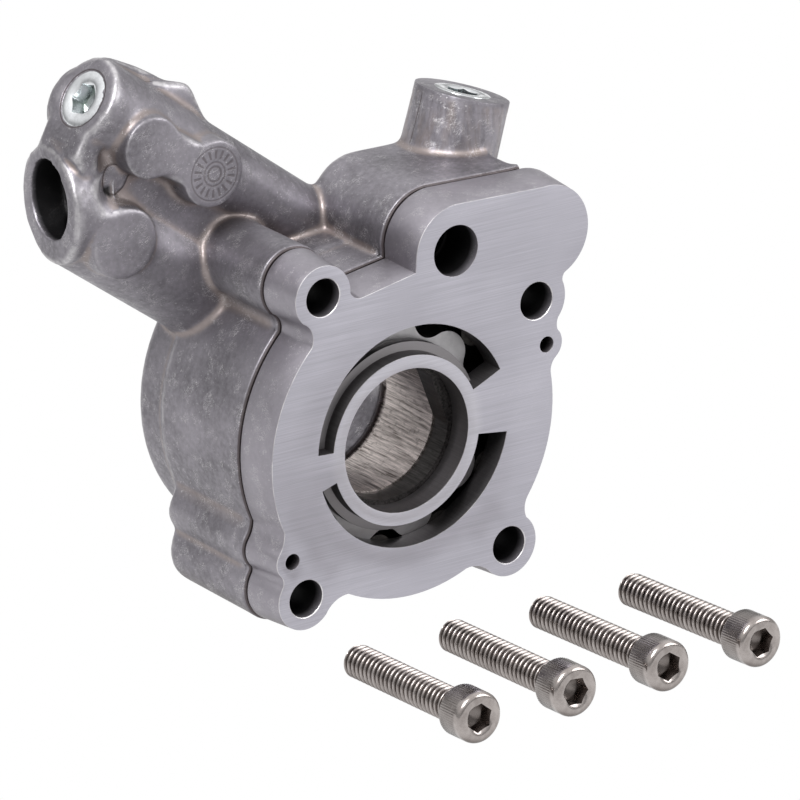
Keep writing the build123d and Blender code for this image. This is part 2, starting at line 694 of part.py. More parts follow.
with BuildPart() as relief_plug_seal:
    with BuildSketch(Plane(along(RV_TOP, RV_DN, S_PLUG0 + GROOVE_S + RING_S), x_dir=RV_DN, z_dir=(0, 1, 0))):
        with Locations((0, RV_BORE_R - RING_S)):
            Circle(RING_S)
    revolve(axis=Axis(RV_TOP, RV_DN))
relief_plug_seal.part.label = "relief_plug_seal"
export_step(relief_plug_seal.part, "parts/relief_plug_seal.step")

with BuildPart() as relief_shim:
    with BuildSketch(Plane(origin=along(RV_TOP, RV_DN, S_SHIM), z_dir=RV_DN)):
        Circle(RV_BORE_R - 0.2)
        Circle(1.4, mode=Mode.SUBTRACT)
    extrude(amount=RV_SHIM_T)
relief_shim.part.label = "relief_shim"
export_step(relief_shim.part, "parts/relief_shim.step")

COILS = 7.5
SPRING_L = S_SPRING1 - S_SPRING0 - 2 * RV_WIRE
SPRING_BASE = along(RV_TOP, RV_DN, S_SPRING0 + RV_WIRE)
with BuildPart() as relief_spring:
    with BuildLine():
        coil_edge = Helix(SPRING_L / COILS, SPRING_L, RV_COIL_R, center=SPRING_BASE, direction=RV_DN)
    with BuildSketch(Plane(origin=coil_edge @ 0, z_dir=coil_edge % 0)):
        Circle(RV_WIRE * 0.96)
    sweep(is_frenet=True)
relief_spring.part.label = "relief_spring"
export_step(relief_spring.part, "parts/relief_spring.step")

with BuildPart() as relief_piston:
    with BuildSketch(Plane(origin=along(RV_TOP, RV_DN, S_PISTON0), z_dir=RV_DN)):
        Circle(RV_BORE_R - RV_CL)
    extrude(amount=RV_PISTON_L)
    with BuildSketch(Plane(origin=along(RV_TOP, RV_DN, S_PISTON0), z_dir=RV_DN)):
        Circle(RV_COIL_R + RV_WIRE + 0.9)
    extrude(amount=RV_PISTON_L - CUP_FLOOR, mode=Mode.SUBTRACT)
relief_piston.part.label = "relief_piston"
export_step(relief_piston.part, "parts/relief_piston.step")

with BuildPart() as relief_seat:
    with BuildSketch(Plane(origin=along(RV_TOP, RV_DN, RV_SEAT_S), z_dir=RV_DN)):
        Circle(RV_BORE_R)
        Circle(SEAT_BORE, mode=Mode.SUBTRACT)
    extrude(amount=RV_SEAT_T)
relief_seat.part.label = "relief_seat"
export_step(relief_seat.part, "parts/relief_seat.step")

# Gallery plug in the end of the upper tube
with BuildPart() as gallery_plug:
    with BuildSketch(Plane(origin=along(GP_C, GP_IN, PLUG_TOP), z_dir=GP_IN)):
        Circle(GP_R)
    extrude(amount=GP_L)
    chamfer(gallery_plug.edges().filter_by(GeomType.CIRCLE).sort_by(Axis(GP_C, GP_IN))[0], 0.35)
    with BuildSketch(Plane(origin=along(GP_C, GP_IN, PLUG_TOP), z_dir=GP_IN)):
        RegularPolygon(HEX_PLUG / 2, 6, major_radius=False)
    extrude(amount=HEX_L, mode=Mode.SUBTRACT)
    with BuildSketch(Plane(origin=along(GP_C, GP_IN, PLUG_TOP + GROOVE_S), z_dir=GP_IN)):
        Circle(GP_R)
        Circle(GP_R - 2 * RING_S, mode=Mode.SUBTRACT)
    extrude(amount=2 * RING_S, mode=Mode.SUBTRACT)
gallery_plug.part.label = "gallery_plug"
export_step(gallery_plug.part, "parts/gallery_plug.step")

with BuildPart() as gallery_plug_seal:
    with BuildSketch(Plane(along(GP_C, GP_IN, PLUG_TOP + GROOVE_S + RING_S), x_dir=GP_IN, z_dir=(0, 1, 0))):
        with Locations((0, GP_R - RING_S)):
            Circle(RING_S)
    revolve(axis=Axis(GP_C, GP_IN))
gallery_plug_seal.part.label = "gallery_plug_seal"
export_step(gallery_plug_seal.part, "parts/gallery_plug_seal.step")

# Hollow dowel pins across the parting plane
with BuildPart() as dowel_pins:
    with BuildSketch(face_plane(PART_Y - 5.0)):
        with Locations(D1, D2):
            Circle(DOWEL_R)
            Circle(DOWEL_R - DOWEL_WALL, mode=Mode.SUBTRACT)
    extrude(amount=-10.5)
dowel_pins.part.label = "dowel_pins"
export_step(dowel_pins.part, "parts/dowel_pins.step")

# Four loose cap screws with a cut thread, lying on the floor in front of the pump
TILT = math.atan((SHEAD_R - SCREW_R) / (SCREW_L - TIP_C))
HEAD_Z = FLOOR_Z + SHEAD_R * math.cos(TILT) + SHEAD_H * math.sin(TILT)
with BuildPart() as screw:
    with BuildSketch(Plane.XY):
        Circle(SHEAD_R)
    extrude(amount=SHEAD_H)
    chamfer(screw.edges().filter_by(GeomType.CIRCLE).sort_by(Axis.Z)[0], HEAD_C)
    with BuildSketch(Plane.XY.offset(SHEAD_H)):
        Circle(SCREW_R)
    extrude(amount=SCREW_L)
    chamfer(screw.edges().filter_by(GeomType.CIRCLE).sort_by(Axis.Z)[-1], TIP_C)
    with BuildLine():
        thread_edge = Helix(SCREW_PITCH, SCREW_L - SCREW_PITCH, SCREW_R, center=(0, 0, SHEAD_H + THREAD_Z))
    with BuildSketch(Plane(thread_edge @ 0, x_dir=(0, 0, 1), z_dir=thread_edge % 0)):
        with BuildLine():
            Line((-GROOVE_W / 2, GROOVE_OUT), (GROOVE_W / 2, GROOVE_OUT))
            Line((GROOVE_W / 2, GROOVE_OUT), (GROOVE_ROOT / 2, -THREAD_H))
            Line((GROOVE_ROOT / 2, -THREAD_H), (-GROOVE_ROOT / 2, -THREAD_H))
            Line((-GROOVE_ROOT / 2, -THREAD_H), (-GROOVE_W / 2, GROOVE_OUT))
        make_face()
    sweep(path=thread_edge, is_frenet=True, mode=Mode.SUBTRACT)
    with BuildSketch(Plane.XY):
        RegularPolygon(SHEAD_R / 2, 6, major_radius=False, rotation=30)
    extrude(amount=SOCKET_L, mode=Mode.SUBTRACT)
screws = []
for SX, SY, SA in SCREWS:
    ACROSS = (math.cos(math.radians(SA)), -math.sin(math.radians(SA)), 0)
    AX = (-ACROSS[1] * math.cos(TILT), ACROSS[0] * math.cos(TILT), -math.sin(TILT))
    screws.append(screw.part.solid().moved(Plane((SX, SY, HEAD_Z), x_dir=ACROSS, z_dir=AX).location))
loose_screws = Compound(children=screws)
loose_screws.label = "loose_screws"
export_step(loose_screws, "parts/loose_screws.step")
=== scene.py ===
"""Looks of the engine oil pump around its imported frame.

Blender's lengths are metres. Axes, holes, pads and painted bands are written in millimetres of the
part's frame, and are scaled where they are used.
"""

import json
import math

import bmesh
import bpy
import numpy as np
from mathutils import Matrix, Vector


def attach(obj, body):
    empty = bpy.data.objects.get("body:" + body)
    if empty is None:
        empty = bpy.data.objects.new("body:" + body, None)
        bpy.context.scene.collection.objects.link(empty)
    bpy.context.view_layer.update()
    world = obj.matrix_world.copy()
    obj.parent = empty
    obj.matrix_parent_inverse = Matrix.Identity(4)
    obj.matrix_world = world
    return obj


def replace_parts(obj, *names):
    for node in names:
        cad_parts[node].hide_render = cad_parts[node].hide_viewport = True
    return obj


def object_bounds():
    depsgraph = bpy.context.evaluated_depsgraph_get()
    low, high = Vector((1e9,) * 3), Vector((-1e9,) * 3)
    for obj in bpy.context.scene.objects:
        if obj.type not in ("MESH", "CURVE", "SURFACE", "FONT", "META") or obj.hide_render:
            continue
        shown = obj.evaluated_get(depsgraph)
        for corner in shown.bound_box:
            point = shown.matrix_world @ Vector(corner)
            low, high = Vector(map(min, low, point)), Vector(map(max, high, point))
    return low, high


MM = 0.001
IMAGE = 800
ALONG_Y = (0, 1, 0)

# Points of a mesh that lie closer than this become one
WELD = 1e-6

# The photograph's camera, in the part's frame, how far it sees, and the floor under the part
AZIMUTH = math.radians(-35.730)
ELEVATION = math.radians(20.791)
ROLL = math.radians(0.1767)
FOCAL_PX = 8000.0
CENTRE_PX = (401.13, 405.27)
TARGET = Vector((-1.342, 0.0, 7.170)) * MM
DISTANCE = 1450.75 * MM
SENSOR_MM = 36.0
SIGHT = 10.0
FLOOR_SIZE = 6.0

# Casting: voxel and smoothing that round its edges into fillets
VOXEL = 0.42 * MM
SOFT_PASSES = 26
SOFT_STEP = 0.5
PARTING = 9.5 * MM
LIP_DEPTH = 1.0 * MM
LIP_EDGE = 0.12 * MM

# Copies of CAD meshes: ease of the front housing's edges, and the angles in degrees that leave two
# faces in one plane, that ease an edge, and that keep a crease when shaded
COVER_EDGE = 0.13 * MM
FLAT_ANGLE = 0.5
EASED_ANGLE = 40
CREASE = 30
SCREW_CREASE = 42

# Where the smoothing fades out: behind the parting line, at holes and on pads
LIP_SHARP = 1.2 * MM
LIP_FADE = 1.5 * MM
HOLE_AHEAD = 0.6 * MM
HOLE_FADE = 0.8 * MM
PAD_MARGIN = 0.5
PAD_RISE = 1.1 * MM
PAD_SOFTNESS = 0.2

# Where the casting is smoothed further: middle, reach, passes
BLEND_SPOTS = [((-46.0, 27.5, 49.5), 8.0, 60)]

# Bores that stay sharp in the casting: point, direction, radius, length
POCKET_AXIS = ((1.6, 9, 0.3), ALONG_Y, 28.2, 19.2)
SHAFT_AXIS = ((0, 27, 0), ALONG_Y, 14.6, 20)
INLET_AXIS = ((-53.6, 36.06, 46.9), (0.9936, -0.1132, 0), 7.85, 8)
PLUG_AXIS = ((-47.6, 33.5, 65.6), (0.824, 0, -0.567), 5.6, 9)
SHARP = [POCKET_AXIS, SHAFT_AXIS, INLET_AXIS, PLUG_AXIS]
SEATS = [(-18.6, 31.5), (29.1, 20.9), (-22.4, -25.8), (23.3, -25.8)]
SEAT_Y = 10
SEAT_R = 5.9
SEAT_L = 40
SHARP += [((x, SEAT_Y, z), ALONG_Y, SEAT_R, SEAT_L) for x, z in SEATS]

# Relief bore, and how much of its boss's top stays sharp
RELIEF_AXIS = ((32.5, 28, 53.0), (-0.2756, 0, -0.9613))
RELIEF_CAP = 2.0 * MM
RELIEF_EDGE = 0.3 * MM

# Holes painted dark inside, a painted shade: centre, radius, depth at which the dark ends; it starts at the
# mouth
BOLT_R = 3.6
BOLT_END = 20
DOWELS = [(31.5, 11.9), (-25.4, -17.9)]
DOWEL_R = 1.55
DOWEL_END = 11
OIL_HOLE = ((10.8, 34.4), 4.9, 24)
HOLES = [(seat, BOLT_R, BOLT_END) for seat in SEATS]
HOLES += [(dowel, DOWEL_R, DOWEL_END) for dowel in DOWELS]
HOLES.append(OIL_HOLE)
HOLE_MOUTH = 1.4

# Round pads of the arm, and the mark of an ejector pin: centre, radius, depth of the face
PADS = [((-43.9, 39.5), 6.8, 25.3), ((-26.0, 49.8), 6.4, 23.4), ((-39.1, 57.2), 5.9, 23.4)]
DIAL_PAD = PADS[1]
EJECTOR = ((-44.3, 51.2), 2.6, 28.2)

# Dish that keeps the ejector mark clear of the inlet cone: its flank's slope, flat rim and reach,
# its distances from the inlet's axis and from the pads, and the depth in front of which it ends
DISH_SLOPE = 0.9
DISH_RIM = 0.4
DISH_REACH = 7 * MM
DISH_OFF_AXIS = 8.3 * MM
DISH_OFF_PAD = 0.2
DISH_FRONT = 20 * MM

# Painted bands: from and to, away from an axis or along it; seams and the gap lie at a depth
BOSS_SIDE = (8.0, 10.2)
BOSS_LENGTH = (0.8, 11.0)
TUBE_SIDE = (5.5, 8.8)
TUBE_LENGTH = (3.0, 45.0)
PLUG_RIM = (5.5, 5.75)
INLET_DARK = (0.9, 9.0)
SEAM_Y = 28.2
TUBE_SEAM_Y = 33.2
SEAM_HALF = 0.1
GAP_HALF = 0.28
DIAL_TICKS = 18
DIAL_TICK_BAND = (2.9, 4.5)
DIAL_RINGS = [(1.2, 1.6), (2.1, 2.4), (4.9, 5.15)]
LINE_SOFT = 0.12

# Quarter-inch cap screw
SCREW_R = 3.15 * MM
SCREW_L = 31.75 * MM
PITCH = 1.27 * MM
THREAD_DEPTH = 0.72 * MM
THREAD_START = 0.6
THREAD_CREST = 0.16
THREAD_FLANK = 0.68
THREAD_COLUMNS = 56
THREAD_ROWS = 20
TIP_CHAMFER = 0.55 * MM
TIP_SLOPE = 0.9
TIP_LEAST = 0.1 * MM
HEAD_R = 4.76 * MM
HEAD_H = 6.35 * MM
HEAD_RIM = 0.95 * MM
HEAD_MOUTH = 3.05 * MM
HEX_AF = 4.76 * MM
HEX_DEPTH = 3.1 * MM
KNURLS = 66
KNURL_DEPTH = 0.06 * MM
KNURL_TOP = 1.8 * MM
KNURL_END = HEAD_H - 0.4 * MM
KNURL_COLUMNS = 6
SPINS = (10, 34, 4, 21)

# How much of a loose screw's two ends gives its direction
TIP_SLICE = 1.0 * MM
HEAD_SLICE = 0.6 * MM

# Hex plugs in the ends of the gallery and of the relief bore
PLUG_L = 6.4 * MM
PLUG_BACK = 1.5 * MM
PLUG_MOUTH = 3.5 * MM
PLUG_HEX_AF = 5.56 * MM
PLUG_HEX_DEPTH = 3.4 * MM
PLUG_COLUMNS = 96

# Drill point at the bottom of a socket, and how far its mouth is countersunk
DRILL_TIP_R = 0.3 * MM
DRILL_TIP = 0.9 * MM
DRILL_SHARE = 0.46
DRILL_EDGE = 0.05 * MM
MOUTH_SHARE = 0.55

# Brightness of the world from straight below to straight above
WORLD_STOPS = [(0.0, 0.6), (0.48, 0.45), (0.56, 0.38), (0.68, 0.85), (0.88, 1.15), (1.0, 1.3)]


def add_camera():
    """Puts the camera where the photograph was taken from."""
    ca, sa = math.cos(AZIMUTH), math.sin(AZIMUTH)
    ce, se = math.cos(ELEVATION), math.sin(ELEVATION)
    back = Vector((sa * ce, -ca * ce, se))
    right = Vector((ca, sa, 0))
    up = Vector((-sa * se, ca * se, ce))
    right_r = math.cos(ROLL) * right + math.sin(ROLL) * up
    up_r = -math.sin(ROLL) * right + math.cos(ROLL) * up
    data = bpy.data.cameras.new("photo_camera")
    data.sensor_width = SENSOR_MM
    data.lens = FOCAL_PX * SENSOR_MM / IMAGE
    data.shift_x = (IMAGE / 2 - CENTRE_PX[0]) / IMAGE
    data.shift_y = (CENTRE_PX[1] - IMAGE / 2) / IMAGE
    data.clip_end = SIGHT
    camera = bpy.data.objects.new("photo_camera", data)
    bpy.context.scene.collection.objects.link(camera)
    matrix = camera.matrix_world.copy()
    for row in range(3):
        matrix[row][0] = right_r[row]
        matrix[row][1] = up_r[row]
        matrix[row][2] = back[row]
        matrix[row][3] = (TARGET + back * DISTANCE)[row]
    camera.matrix_world = matrix
    bpy.context.scene.camera = camera


class Nodes:
    """Short hand for building a node tree: add returns a node, the other calls what it puts out."""

    def __init__(self, tree):
        self.tree = tree

    def add(self, kind, settings=None, **inputs):
        node = self.tree.nodes.new(kind)
        for name, value in (settings or {}).items():
            setattr(node, name, value)
        for name, value in inputs.items():
            self.put(node, name.replace("_", " "), value)
        return node

    def put(self, node, name, value):
        socket = node.inputs[int(name)] if name.isdigit() else node.inputs[name]
        if isinstance(value, bpy.types.NodeSocket):
            self.tree.links.new(value, socket)
        else:
            socket.default_value = value

    def maths(self, operation, a, b=0.0):
        node = self.add("ShaderNodeMath", {"operation": operation})
        self.put(node, "0", a)
        self.put(node, "1", b)
        return node.outputs[0]

    def times(self, a, b):
        return self.maths("MULTIPLY", a, b)

    def mix(self, factor, a, b):
        node = self.add("ShaderNodeMix", {"data_type": "RGBA"})
        self.put(node, "0", factor)
        self.put(node, "6", a)
        self.put(node, "7", b)
        return node.outputs[2]

    def ramp(self, value, low, high, a=0.0, b=1.0):
        node = self.add("ShaderNodeMapRange", {"clamp": True})
        for name, v in zip(("0", "1", "2", "3", "4"), (value, low, high, a, b)):
            self.put(node, name, v)
        return node.outputs[0]

    def fall(self, value, low, high):
        """One below low, nothing above high."""
        return self.ramp(value, low, high, 1.0, 0.0)

    def noise(self, vector, scale, detail, rough, stretch=None):
        if stretch is not None:
            vector = self.add("ShaderNodeMapping", Vector=vector, Scale=stretch).outputs[0]
        node = self.add("ShaderNodeTexNoise", Vector=vector, Scale=scale, Detail=detail, Roughness=rough)
        return node.outputs[0]

    def vector(self, operation, a, b=(0, 0, 0)):
        node = self.add("ShaderNodeVectorMath", {"operation": operation})
        self.put(node, "0", a)
        self.put(node, "1", b)
        return node.outputs[1 if operation in ("DOT_PRODUCT", "LENGTH") else 0]

    def split(self, vector):
        """The X, Y and Z of a vector."""
        return self.add("ShaderNodeSeparateXYZ", Vector=vector).outputs

    def openness(self, distance):
        """One in the open, less in a recess."""
        return self.add("ShaderNodeAmbientOcclusion", {"samples": 8}, Distance=distance).outputs["AO"]

    def axis(self, place, axis):
        """Distance to an axis and place along it, both in metres."""
        way = Vector(axis[1]).normalized()
        rel = self.vector("SUBTRACT", place, Vector(axis[0]) * MM)
        away = self.vector("LENGTH", self.vector("CROSS_PRODUCT", rel, way))
        return away, self.vector("DOT_PRODUCT", rel, way)

    def band(self, value, low, high, soft):
        """One between low and high, with soft ends; all in millimetres."""
        rise = self.ramp(value, (low - soft) * MM, (low + soft) * MM)
        return self.times(rise, self.fall(value, (high - soft) * MM, (high + soft) * MM))

    def most(self, *values):
        value = values[0]
        for other in values[1:]:
            value = self.maths("MAXIMUM", value, other)
        return value

    def bump(self, height, strength, distance):
        return self.add("ShaderNodeBump", Height=height, Strength=strength, Distance=distance).outputs[0]


def grey(value, tint=(1.0, 1.0, 1.0)):
    return (value * tint[0], value * tint[1], value * tint[2], 1.0)


CAST_TINT = (1.035, 0.978, 1.08)
CAST_DARK = grey(0.135, CAST_TINT)
CAST_LIGHT = grey(0.235, CAST_TINT)
CAST_PALE = grey(0.36, CAST_TINT)
CAST_BRIGHT = grey(0.80, (1.0, 0.98, 0.985))
FACE_TINT = (0.985, 0.96, 1.07)
FACE_DARK = grey(0.375, FACE_TINT)
FACE_LIGHT = grey(0.495, FACE_TINT)
# Dark used for painted shade in recesses, gaps and crevices, and for the seams and dial lines
VALLEY = (0.070, 0.056, 0.056, 1.0)
TAN = (0.28, 0.232, 0.212, 1.0)
BLACK = (0.008, 0.008, 0.008, 1)
# Painted shade inside the ports: their walls, and the less dark ledges that face forward
PORT_WALL_SHADE = (0.075, 0.07, 0.071, 1)
PORT_LEDGE_SHADE = (0.21, 0.20, 0.205, 1)
STAINLESS_DARK = (0.30, 0.268, 0.255, 1)
STAINLESS_LIGHT = (0.45, 0.412, 0.395, 1)
SCREW_SHADE = (0.10, 0.085, 0.078, 1)
SCRATCH_TURNS = ((0.4, 0.2, 0.9), (1.2, 0.1, -0.7), (-0.5, 0.8, 0.2))


def new_material(name):
    """A material with its tree helper, its shader and the object coordinates."""
    material = bpy.data.materials.new(name)
    material.use_nodes = True
    n = Nodes(material.node_tree)
    shader = material.node_tree.nodes["Principled BSDF"]
    place = n.add("ShaderNodeTexCoord").outputs["Object"]
    return material, n, shader, place


def scratches(n, place, scale, turn, width):
    """Thin bright lines where a stretched noise crosses its middle value."""
    turned = n.add("ShaderNodeMapping", Vector=place, Rotation=turn).outputs[0]
    lines = n.noise(turned, scale, 2.0, 0.5, (1.0, 1.0, 9.0))
    gap = n.maths("ABSOLUTE", n.maths("SUBTRACT", lines, 0.5))
    return n.fall(gap, 0.0, width)


def cast_colour(n, place):
    """Mottled grey of a die casting with pale specks and short scratches."""
    broad = n.ramp(n.noise(place, 70.0, 4.0, 0.6), 0.35, 0.65)
    fine = n.ramp(n.noise(place, 900.0, 3.0, 0.65), 0.35, 0.7)
    base = n.mix(broad, CAST_DARK, CAST_LIGHT)
    base = n.mix(n.times(fine, 0.32), base, CAST_PALE)
    patch = n.ramp(n.noise(place, 160.0, 3.0, 0.6), 0.42, 0.60)
    marks = n.times(n.ramp(n.noise(place, 2300.0, 1.0, 0.5), 0.66, 0.76, 0.0, 0.5), patch)
    for turn in SCRATCH_TURNS:
        line = scratches(n, place, 420.0, turn, 0.007)
        gate = n.ramp(n.noise(place, 330.0, 2.0, 0.5), 0.53, 0.62)
        marks = n.most(marks, n.times(line, gate))
    return base, marks, fine


def shaded_holes(n, place):
    """One inside the bolt, dowel and oil holes, past their rims, where their painted shade goes."""
    mask = 0.0
    for (x, z), radius, end in HOLES:
        away, inside = n.axis(place, ((x, 0, z), ALONG_Y))
        wide = n.fall(away, (radius + 0.05) * MM, (radius + 0.3) * MM)
        mask = n.maths("MAXIMUM", mask, n.times(wide, n.band(inside, HOLE_MOUTH, end, 1.0)))
    return mask


def dial(n, place):
    """A plain ring of ticks, as a cast date stamp has, on the right upper pad."""
    (x, z), _, depth = DIAL_PAD
    rel = n.split(n.vector("SUBTRACT", place, Vector((x, depth, z)) * MM))
    away, _ = n.axis(place, ((x, depth, z), ALONG_Y))
    turn = n.maths("ARCTAN2", rel[2], rel[0])
    ticks = n.ramp(n.maths("SINE", n.times(turn, DIAL_TICKS)), 0.1, 0.7)
    ticks = n.times(ticks, n.band(away, *DIAL_TICK_BAND, LINE_SOFT))
    rings = n.most(*[n.band(away, low, high, LINE_SOFT) for low, high in DIAL_RINGS])
    return n.times(n.most(ticks, rings), n.band(rel[1], -1.0, 0.6, 0.1))


def parting_gap(n, y):
    """One in the gap between the two housings, where its painted shade goes."""
    return n.band(y, PARTING / MM - GAP_HALF, PARTING / MM + GAP_HALF, 0.08)


def seam(n, y, middle):
    """One on a mould's seam."""
    return n.band(y, middle - SEAM_HALF, middle + SEAM_HALF, 0.06)


def boss_side(n, place):
    """One on the side of the relief boss."""
    away, down = n.axis(place, RELIEF_AXIS)
    return n.times(n.band(away, *BOSS_SIDE, 0.1), n.band(down, *BOSS_LENGTH, 0.4))


def streaked(n, place, base, on_boss):
    """The base colour with tan and pale streaks down the relief boss."""
    stain = n.ramp(n.noise(place, 120.0, 3.0, 0.6, (4, 4, 1)), 0.4, 0.65)
    base = n.mix(n.times(n.times(on_boss, stain), 0.5), base, TAN)
    streak = n.ramp(n.noise(place, 60.0, 3.0, 0.7, (9, 9, 1)), 0.45, 0.62)
    return n.mix(n.times(n.times(streak, on_boss), 0.45), base, CAST_PALE)


def grooves(n, place, y, on_boss):
    """One in the seams, round the plug and the ejector mark, in the gap and in the dial; round the plug,
    the ejector mark and in the gap it places painted shade.
    """
    tube, end = n.axis(place, PLUG_AXIS)
    on_tube = n.times(n.band(tube, *TUBE_SIDE, 0.2), n.band(end, *TUBE_LENGTH, 1.0))
    rim = n.times(n.band(tube, *PLUG_RIM, 0.08), n.band(end, -0.5, 0.5, 0.1))
    seams = n.most(n.times(seam(n, y, SEAM_Y), on_boss), n.times(seam(n, y, TUBE_SEAM_Y), on_tube))
    (x, z), radius, depth = EJECTOR
    away, out = n.axis(place, ((x, depth, z), ALONG_Y))
    ring = n.times(n.band(away, radius + 0.05, radius + 0.4, LINE_SOFT), n.band(out, -0.6, 1.2, 0.2))
    return n.most(seams, ring, rim, parting_gap(n, y), n.times(dial(n, place), 0.6))


def shaded_bores(n, place):
    """One inside the inlet bore and the deep holes, where their painted shade goes."""
    away, inside = n.axis(place, INLET_AXIS)
    inlet = n.times(n.fall(away, 7.6 * MM, 7.9 * MM), n.band(inside, *INLET_DARK, 0.5))
    return n.maths("MAXIMUM", inlet, shaded_holes(n, place))


def lit_bore(n, place, y, z):
    """How much the wall of the rear shaft bore is lit, from its underside to its top."""
    away, _ = n.axis(place, SHAFT_AXIS)
    inside = n.times(n.fall(away, 14.8 * MM, 15.2 * MM), n.ramp(y, 26.8 * MM, 27.2 * MM))
    return n.times(inside, n.ramp(z, -4 * MM, 5 * MM, 0.0, 0.7))


def cast_material(name, with_ridge):
    """Die-cast aluminium; the casting's own mesh says where its ridges and valleys are."""
    material, n, shader, place = new_material(name)
    _, y, z = n.split(place)
    base, marks, fine = cast_colour(n, place)
    # Painted shade: recesses found by ambient occlusion darken towards VALLEY
    base = n.mix(n.ramp(n.openness(8 * MM), 0.30, 0.80, 0.7, 0.0), base, VALLEY)
    if with_ridge:
        ridge = n.add("ShaderNodeAttribute", {"attribute_name": "ridge"}).outputs["Fac"]
        # Pale convex edges from the ridge attribute, in patches and brighter towards the front: partly
        # burnished wear, partly painted highlight
        wear_and_glint_patches = n.ramp(n.noise(place, 420.0, 4.0, 0.7), 0.30, 0.60)
        edge = n.times(n.ramp(ridge, 0.06, 0.30), wear_and_glint_patches)
        marks = n.most(marks, n.times(edge, n.ramp(y, 26 * MM, 29 * MM, 0.4, 0.65)))
        # Tan in concave folds: partly a brown tint, partly painted highlight
        base = n.mix(n.ramp(ridge, -0.22, -0.03, 0.65, 0.0), base, TAN)
    on_boss = boss_side(n, place)
    base = streaked(n, place, base, on_boss)
    groove = grooves(n, place, y, on_boss)
    # Specks and scratches go pale here, and so do the ridges' painted highlights
    colour = n.mix(n.times(marks, 0.8), base, CAST_BRIGHT)
    # Dark seams and dial lines, and painted shade in the gap and in the crevices round the plug and the
    # ejector mark
    colour = n.mix(n.times(groove, 0.85), colour, VALLEY)
    colour = n.mix(lit_bore(n, place, y, z), colour, CAST_BRIGHT)
    # Painted shade: the insides of the inlet bore and the deep holes go nearly black
    colour = n.mix(n.times(shaded_bores(n, place), 0.93), colour, BLACK)
    n.put(shader, "Base Color", colour)
    shader.inputs["Metallic"].default_value = 0.85
    n.put(shader, "Roughness", n.ramp(fine, 0.0, 1.0, 0.50, 0.38))
    height = n.maths("ADD", n.noise(place, 700.0, 4.0, 0.6), n.times(marks, 0.4))
    height = n.maths("ADD", height, n.times(n.noise(place, 170.0, 3.0, 0.5), 1.2))
    height = n.maths("SUBTRACT", height, n.times(groove, 2.0))
    n.put(shader, "Normal", n.bump(height, 0.4, 0.08 * MM))
    return material


def milled_skin(n, place, away):
    """Colour of the milled face, brighter round the bore, with its lines and fine lines."""
    lines = n.noise(place, 30.0, 3.0, 0.6, (1.0, 1.0, 190.0))
    hair = n.noise(place, 90.0, 2.0, 0.6, (1.0, 1.0, 120.0))
    cloud = n.noise(place, 55.0, 3.0, 0.5)
    shade = n.maths("ADD", n.times(lines, 0.45), n.times(hair, 0.35))
    shade = n.maths("ADD", shade, n.times(cloud, 0.2))
    milled = n.mix(n.ramp(shade, 0.38, 0.62), FACE_DARK, FACE_LIGHT)
    nicks = n.times(scratches(n, place, 260.0, (0.3, 0.5, 1.3), 0.004), n.ramp(cloud, 0.56, 0.62))
    milled = n.mix(n.times(nicks, 0.35), milled, CAST_BRIGHT)
    milled = n.mix(n.ramp(away, 15.5 * MM, 17.5 * MM, 0.14, 0.0), milled, CAST_BRIGHT)
    return milled, lines, hair


def port_shade(n, hair, flat):
    """Painted shade inside the ports: darkest on their walls, less dark on their ledges that face forward.
    """
    inner = n.mix(flat, PORT_WALL_SHADE, PORT_LEDGE_SHADE)
    return n.mix(n.ramp(hair, 0.3, 0.7, 0.0, 0.25), inner, PORT_LEDGE_SHADE)


def milled_material(name):
    """Milled front face with fine lines along X; the same part's sides stay as cast."""
    material, n, shader, place = new_material(name)
    y = n.split(place)[1]
    facing = n.split(n.add("ShaderNodeNewGeometry").outputs["Normal"])[1]
    flat = n.fall(facing, -0.97, -0.9)
    front = n.times(n.fall(y, 0.02 * MM, 0.05 * MM), flat)
    # Painted highlight along the eased edge round the milled face, in patches
    edge = n.times(n.fall(y, 0.15 * MM, 0.18 * MM), n.ramp(facing, -0.97, -0.9))
    edge = n.times(edge, n.fall(facing, -0.3, -0.1))
    edge = n.times(edge, n.ramp(n.noise(place, 220.0, 3.0, 0.6), 0.35, 0.6, 0.25, 0.9))
    away, _ = n.axis(place, ((0, 0, 0), ALONG_Y))
    milled, lines, hair = milled_skin(n, place, away)
    base, marks, _ = cast_colour(n, place)
    base = n.mix(0.5, base, CAST_PALE)
    # Painted shade: recesses of the cast sides found by ambient occlusion darken towards VALLEY
    base = n.mix(n.ramp(n.openness(6 * MM), 0.30, 0.80, 0.7, 0.0), base, VALLEY)
    cast = n.mix(n.times(marks, 0.6), base, CAST_BRIGHT)
    # Painted shade inside the pocket's radius: the ports' walls and ledges
    cast = n.mix(n.ramp(away, 27.5 * MM, 28.0 * MM, 0.9, 0.0), cast, port_shade(n, hair, flat))
    colour = n.mix(front, cast, milled)
    # Painted shade: nearly black in the deep holes and in the gap between the housings
    dark = n.most(shaded_holes(n, place), n.times(parting_gap(n, y), 0.9))
    colour = n.mix(n.times(dark, 0.93), colour, BLACK)
    # The edge's painted highlight goes on top
    n.put(shader, "Base Color", n.mix(edge, colour, CAST_BRIGHT))
    shader.inputs["Metallic"].default_value = 0.9
    rough = n.maths("ADD", n.times(front, -0.08), n.ramp(hair, 0.0, 1.0, 0.40, 0.48))
    n.put(shader, "Roughness", rough)
    height = n.times(front, n.maths("ADD", lines, n.times(hair, 0.6)))
    n.put(shader, "Normal", n.bump(height, 0.2, 0.03 * MM))
    return material


